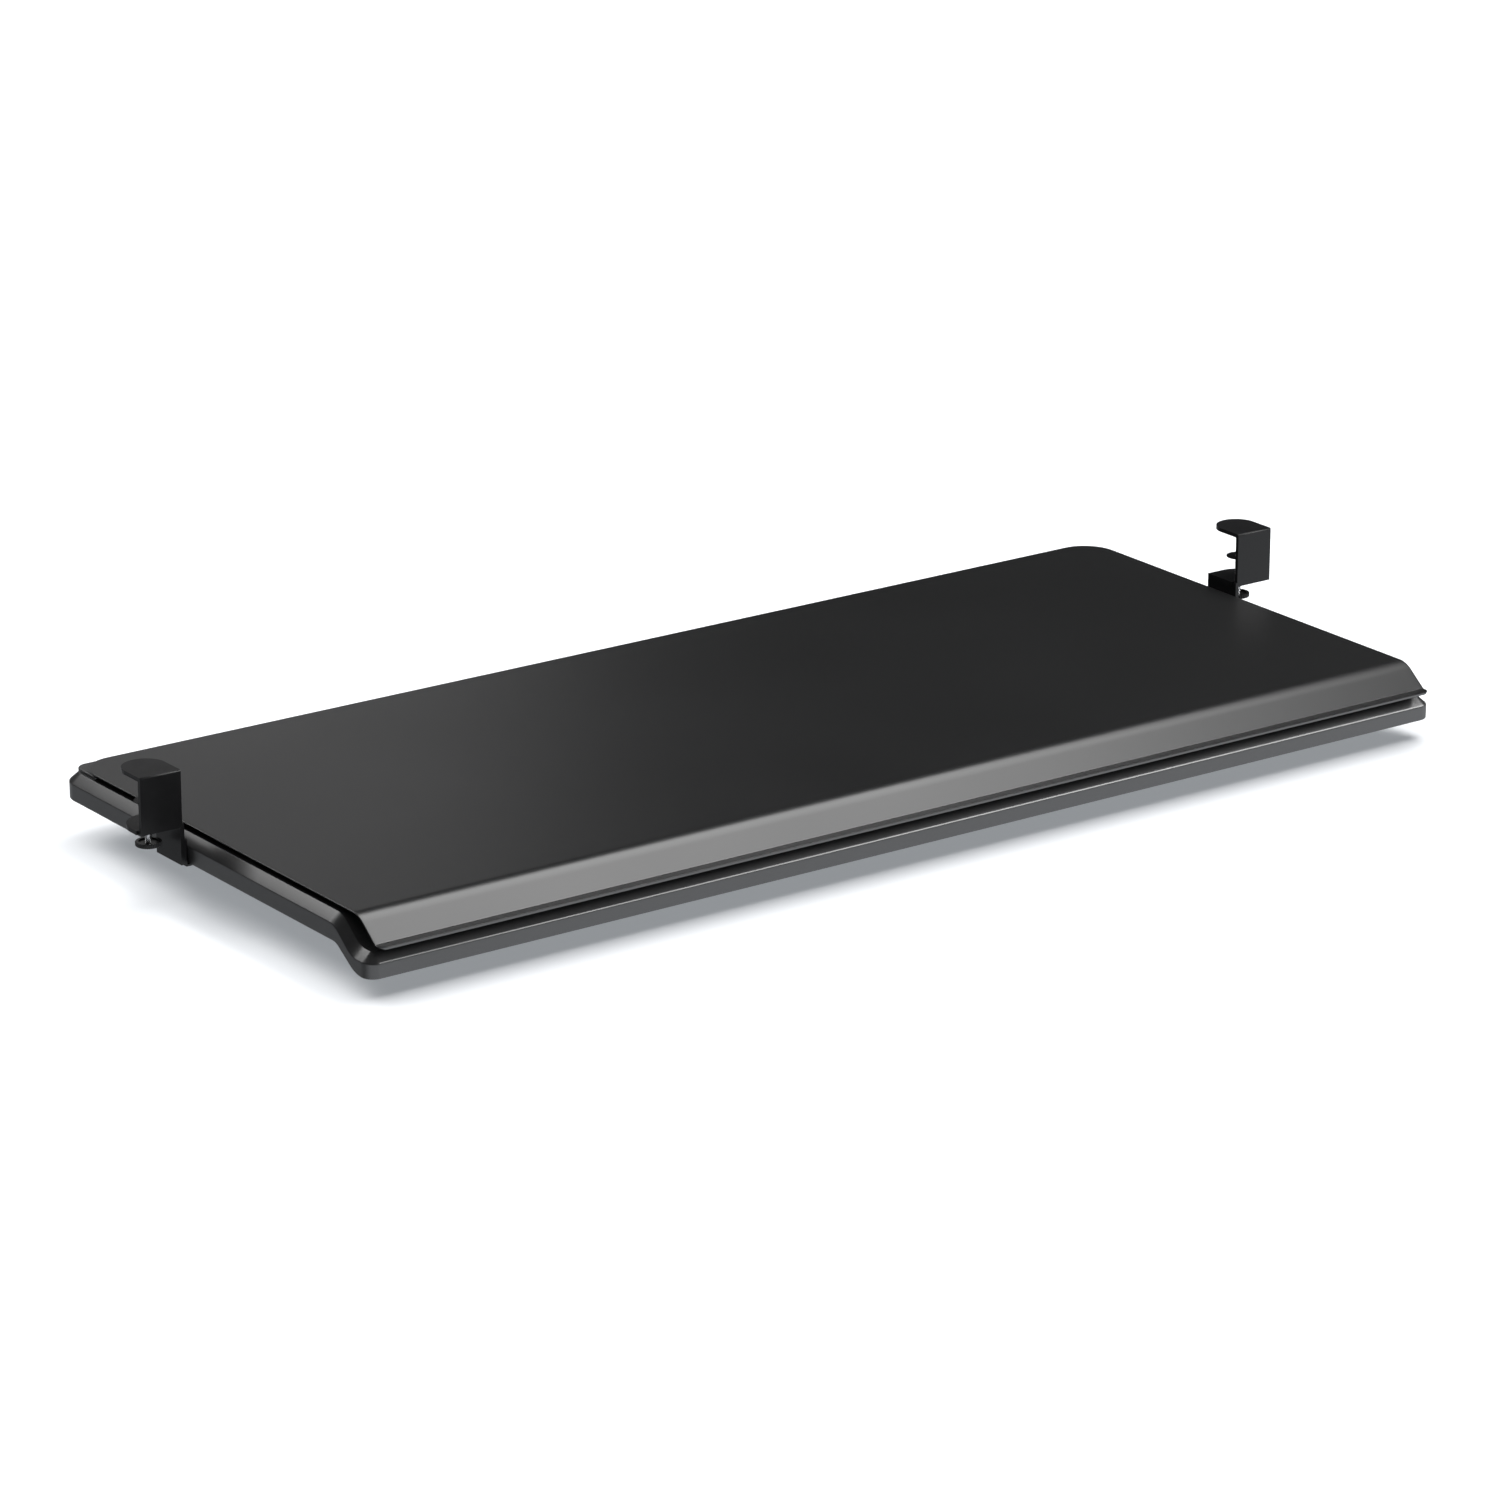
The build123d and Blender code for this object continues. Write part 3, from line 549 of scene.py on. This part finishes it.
def spread(tree, source, low, high):
    """Maps a 0 to 1 value to a range."""
    ramp = tree.nodes.new("ShaderNodeMapRange")
    ramp.inputs["From Min"].default_value = 0.3
    ramp.inputs["From Max"].default_value = 0.7
    ramp.inputs["To Min"].default_value = low
    ramp.inputs["To Max"].default_value = high
    tree.links.new(source, ramp.inputs["Value"])
    return ramp.outputs["Result"]


def bump(tree, shader, source, strength, depth):
    node = tree.nodes.new("ShaderNodeBump")
    node.inputs["Strength"].default_value = strength
    node.inputs["Distance"].default_value = depth
    tree.links.new(source, node.inputs["Height"])
    tree.links.new(node.outputs["Normal"], shader.inputs["Normal"])


def tint(tree, shader, source, dark, light):
    """Base colour that varies a little between two tones."""
    mix = tree.nodes.new("ShaderNodeMix")
    mix.data_type = "RGBA"
    mix.inputs["A"].default_value = (*dark, 1)
    mix.inputs["B"].default_value = (*light, 1)
    tree.links.new(source, mix.inputs["Factor"])
    tree.links.new(mix.outputs["Result"], shader.inputs["Base Color"])


def moulded_plastic(name, dark, light, rough_low, rough_high, specular=0.5):
    """Near-black moulded plastic with a fine spark-eroded texture and faint mould variation."""
    material, tree, shader = new_material(name, light, rough_high, 0.0, specular)
    grain = noise(tree, 2600.0, 3.0, 0.6)
    cloud = noise(tree, 7.0, 1.0)
    tint(tree, shader, cloud.outputs["Fac"], dark, light)
    tree.links.new(spread(tree, cloud.outputs["Fac"], rough_low, rough_high),
                   shader.inputs["Roughness"])
    bump(tree, shader, grain.outputs["Fac"], 0.12, 0.00008)
    return material


def powder_coat(name, dark, light, rough_low, rough_high):
    """Black powder coat: orange-peel bump and slight gloss variation."""
    material, tree, shader = new_material(name, light, rough_high, 0.0, 0.13)
    peel = noise(tree, 900.0, 2.0)
    cloud = noise(tree, 60.0, 3.0)
    tint(tree, shader, cloud.outputs["Fac"], dark, light)
    tree.links.new(spread(tree, cloud.outputs["Fac"], rough_low, rough_high),
                   shader.inputs["Roughness"])
    bump(tree, shader, peel.outputs["Fac"], 0.18, 0.0001)
    return material


def plated_steel(name, color, rough_low, rough_high, cloud_scale=150.0):
    """Zinc-plated or turned steel with cloudy gloss and a fine bumpy grain."""
    material, tree, shader = new_material(name, color, rough_high, 1.0)
    cloud = noise(tree, cloud_scale, 4.0, 0.6)
    dark = tuple(0.82 * c for c in color)
    tint(tree, shader, cloud.outputs["Fac"], dark, color)
    tree.links.new(spread(tree, cloud.outputs["Fac"], rough_low, rough_high),
                   shader.inputs["Roughness"])
    fine = noise(tree, 4000.0, 2.0)
    bump(tree, shader, fine.outputs["Fac"], 0.08, 0.00005)
    return material


SLOT_MATERIALS = {
    "tray_plastic": moulded_plastic("tray_plastic", (0.011, 0.011, 0.0113),
                                    (0.013, 0.013, 0.0133), 0.28, 0.33, 0.5),
    "panel_plastic": moulded_plastic("panel_plastic", (0.0045, 0.0045, 0.0047),
                                     (0.0055, 0.0055, 0.0057), 0.3, 0.32, 0.7),
    "clamp_paint": powder_coat("clamp_paint", (0.0035, 0.0035, 0.0037),
                               (0.005, 0.005, 0.0053), 0.3, 0.38),
    "knob_black": powder_coat("knob_black", (0.008, 0.008, 0.0085),
                              (0.012, 0.012, 0.0125), 0.22, 0.3),
    "pad_black": powder_coat("pad_black", (0.004, 0.004, 0.0043),
                             (0.006, 0.006, 0.0063), 0.3, 0.4),
    "screw_steel": plated_steel("screw_steel", (0.6, 0.6, 0.61), 0.22, 0.34),
    "zinc_steel": plated_steel("zinc_steel", (0.58, 0.58, 0.57), 0.25, 0.4),
    "galvanised_steel": plated_steel("galvanised_steel", (0.48, 0.49, 0.5), 0.32, 0.5, 90.0),
    "rubber": moulded_plastic("rubber", (0.016, 0.016, 0.016), (0.022, 0.022, 0.022),
                              0.7, 0.85, 0.35),
    "nylon": moulded_plastic("nylon", (0.66, 0.65, 0.6), (0.74, 0.73, 0.68), 0.35, 0.5),
}


def finish_piece(piece, body, slot_name):
    """Gives a new piece the material named by a record slot, and its body."""
    piece.data.materials.clear()
    piece.data.materials.append(SLOT_MATERIALS[slot_name])
    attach(piece, body)


def dress_cad_nodes():
    """Puts the better material on every CAD node's object."""
    node_slot = {}
    for subpart in frame["record"]["subparts"]:
        node_slot[subpart["node"]] = subpart["material_slot"]
    for name, node in frame["nodes"].items():
        material = SLOT_MATERIALS[node_slot[name]]
        for material_slot in node.material_slots:
            material_slot.link = "OBJECT"
            material_slot.material = material


# ---- stage, light and camera ----
def make_floor():
    """A pale floor that gives a soft shadow. Reflections look past it, to the world below."""
    level = CAD_LOW.z / MM - FLOOR_GAP
    reach = FLOOR_REACH
    vertices = [(-reach, -reach, level), (reach, -reach, level), (reach, reach, level),
                (-reach, reach, level)]
    floor = make_object("floor", vertices, [(0, 1, 2, 3)])
    material, tree, shader = new_material("floor_paint", (0.6, 0.605, 0.615), 0.9, 0.0, 0.0)
    shader.inputs["Emission Color"].default_value = (0.9, 0.95, 1.0, 1)
    shader.inputs["Emission Strength"].default_value = 0.3
    floor.data.materials.append(material)
    floor.visible_glossy = False


def area_light(name, place, target, width, height, radiance, glossy=True):
    """A soft rectangular light. radiance is its surface brightness."""
    data = bpy.data.lights.new(name, "AREA")
    data.shape = "RECTANGLE"
    data.size = width
    data.size_y = height
    data.energy = radiance * math.pi * width * height
    light = bpy.data.objects.new(name, data)
    light.visible_glossy = glossy
    light.location = place
    aim = Vector(target) - Vector(place)
    light.rotation_mode = "QUATERNION"
    light.rotation_quaternion = aim.to_track_quat("-Z", "Y")
    bpy.context.scene.collection.objects.link(light)
    return light


def polar(azimuth, elevation, distance):
    """A point at that azimuth (from +Y towards +X), elevation and distance, in metres."""
    a = math.radians(azimuth)
    e = math.radians(elevation)
    flat = distance * math.cos(e)
    return (flat * math.sin(a), flat * math.cos(a), distance * math.sin(e))


def shine_on(light, pieces):
    """Limits a light to the given pieces, so that it doesn't glare on the flat panel."""
    receivers = bpy.data.collections.new(light.name + "_receivers")
    for piece in pieces:
        receivers.objects.link(piece)
    light.light_linking.receiver_collection = receivers


def make_lights():
    """Sets the softboxes and gives back the front one."""
    centre = (0.0, 0.0, -0.04)
    area_light("overhead", (0.0, 1.0, 4.5), (0.0, 1.0, 0.0), 9.0, 8.0, 2.3, False)
    area_light("key_softbox", polar(90, 62, 3.0), centre, 2.6, 1.5, 5.4)
    area_light("rear_left_softbox", polar(-22, 40, 3.2), centre, 1.7, 1.2, 5.4)
    area_light("rear_card", polar(15, 18, 4.0), centre, 2.3, 0.7, 0.7)
    return area_light("front_softbox", polar(134, 28, 3.2), centre, 2.5, 1.4, 16.0)


def make_world():
    """Dim surroundings, with a grey below, lighter to the front, that stands for the floor."""
    world = bpy.data.worlds.new("studio_world")
    world.use_nodes = True
    tree = world.node_tree
    background = tree.nodes["Background"]
    background.inputs["Color"].default_value = (0.93, 0.96, 1.0, 1)
    coordinates = tree.nodes.new("ShaderNodeTexCoord")
    direction = tree.nodes.new("ShaderNodeSeparateXYZ")
    below = tree.nodes.new("ShaderNodeMapRange")
    below.inputs["From Min"].default_value = -0.6
    below.inputs["From Max"].default_value = 0.2
    below.inputs["To Min"].default_value = 2.3
    below.inputs["To Max"].default_value = 0.5
    level = tree.nodes.new("ShaderNodeMapRange")
    level.inputs["From Min"].default_value = -0.1
    level.inputs["From Max"].default_value = 0.0
    level.inputs["To Max"].default_value = 0.035
    tree.links.new(coordinates.outputs["Generated"], direction.inputs["Vector"])
    tree.links.new(direction.outputs["Y"], below.inputs["Value"])
    tree.links.new(direction.outputs["Z"], level.inputs["Value"])
    tree.links.new(below.outputs["Result"], level.inputs["To Min"])
    tree.links.new(level.outputs["Result"], background.inputs["Strength"])
    bpy.context.scene.world = world


def make_camera():
    data = bpy.data.cameras.new("camera")
    data.lens = 149.376
    data.sensor_width = 36.0
    data.clip_end = 100.0
    camera = bpy.data.objects.new("camera", data)
    camera.location = (-2.09215, -2.91932, 1.16695)
    camera.rotation_mode = "QUATERNION"
    camera.rotation_quaternion = Vector((0.5526, 0.7677, -0.3245)).to_track_quat("-Z", "Y")
    bpy.context.scene.collection.objects.link(camera)
    bpy.context.scene.camera = camera


# ---- build ----
dress_cad_nodes()
soften_cad_nodes()

tray_shell = make_base_tray()
finish_piece(tray_shell, "tray", "tray_plastic")
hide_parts("base_tray")
tray_ledge = make_tray_ledge()
finish_piece(tray_ledge, "tray", "tray_plastic")
finish_piece(make_tray_ribs(), "tray", "tray_plastic")

panel_sheet = make_top_panel()
finish_piece(panel_sheet, "tray", "panel_plastic")
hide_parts("top_panel")
finish_piece(make_panel_bosses(), "tray", "panel_plastic")

front_lit = [tray_shell, tray_ledge]
for side in (-1, 1):
    side_name = SIDE_NAMES[side]
    thread = make_clamp_screw(side)
    finish_piece(thread, side_name + "_screw", "screw_steel")
    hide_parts(side_name + "_clamp_screw")
    front_lit.append(thread)
    for part in ("_bracket", "_knob", "_pad", "_slide_arm"):
        front_lit.append(frame["nodes"][side_name + part])

make_floor()
shine_on(make_lights(), front_lit)
make_world()
make_camera()
bpy.context.scene.view_settings.view_transform = "Standard"
